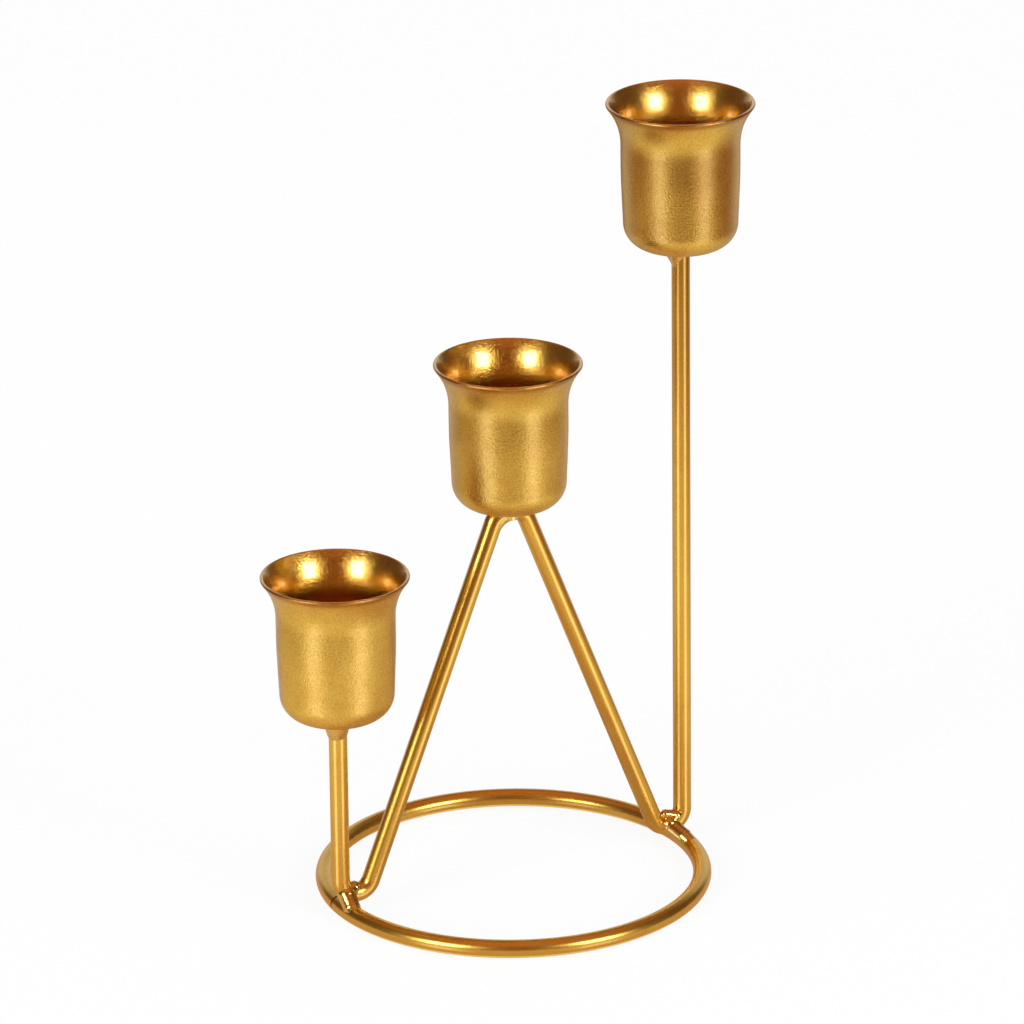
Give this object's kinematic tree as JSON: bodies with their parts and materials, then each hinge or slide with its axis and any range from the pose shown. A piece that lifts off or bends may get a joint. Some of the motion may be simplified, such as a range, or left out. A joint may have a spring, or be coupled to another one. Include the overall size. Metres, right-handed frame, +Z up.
{
  "type": "candle holder",
  "caption": "Taper candle holder: flared metal cups at stepped heights on one zigzag bent wire, welded to a round wire base ring.",
  "frame": {"origin": "centre of the base ring, on the table that it rests on", "axes": "+Z up; the uprights, the legs and the axes of all cups lie in the plane Y = 0, with the tall cup on the +X side; -Y is the front"},
  "size_m": [0.1166, 0.087, 0.173],
  "materials": {
    "gold_wire": "semi-gloss gold metallic paint on steel wire",
    "gold_sheet": "satin gold metallic paint with a fine grain, on pressed steel sheet",
    "gold_weld": "glossy gold metallic paint run over rough weld beads"
  },
  "bodies": {
    "root": {"base_ring": "gold_wire", "wire_frame": "gold_wire", "low_cup": "gold_sheet", "middle_cup": "gold_sheet", "tall_cup": "gold_sheet", "low_cup_weld": "gold_weld", "middle_cup_weld": "gold_weld", "tall_cup_weld": "gold_weld", "left_foot_weld": "gold_weld", "right_foot_weld": "gold_weld"}
  },
  "joints": []
}
